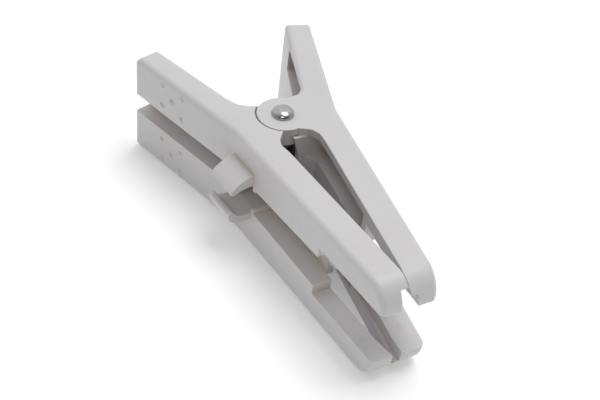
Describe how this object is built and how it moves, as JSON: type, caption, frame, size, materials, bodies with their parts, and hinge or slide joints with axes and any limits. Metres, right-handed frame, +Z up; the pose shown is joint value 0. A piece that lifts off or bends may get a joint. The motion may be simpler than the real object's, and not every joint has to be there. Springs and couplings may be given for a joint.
{
  "type": "fingertip pulse oximeter sensor clip",
  "caption": "Spring clip that holds the sensor heads of a pulse oximeter: forked jaws, ribbed handles, riveted hinge and a moulded cable clip.",
  "frame": {"origin": "centre of the box's base, on the plane the clip lies on; the hinge axis is vertical, 9.4 mm behind it", "axes": "+X from the handles towards the jaw tips along the closing plane, +Y from the front lever towards the rear lever, +Z up along the hinge pin"},
  "size_m": [0.0686, 0.0352, 0.0214],
  "materials": {
    "grey_plastic": "fine satin moulded",
    "nickel": "polished",
    "spring_steel": "drawn wire"
  },
  "bodies": {
    "front": {"front_lever": "grey_plastic", "pivot_rivet": "nickel", "torsion_spring": "spring_steel"},
    "rear": {"rear_lever": "grey_plastic"}
  },
  "joints": [
    {"name": "jaw_hinge", "type": "hinge", "parent": "front", "child": "rear", "pos_m": [-0.0094, 0, 0.0101], "axis": [0, 0, 1], "range_deg": [0, 44], "stiffness_Nm_per_rad": 0.05, "springref_deg": -51.57, "deforming": ["torsion_spring"]}
  ]
}
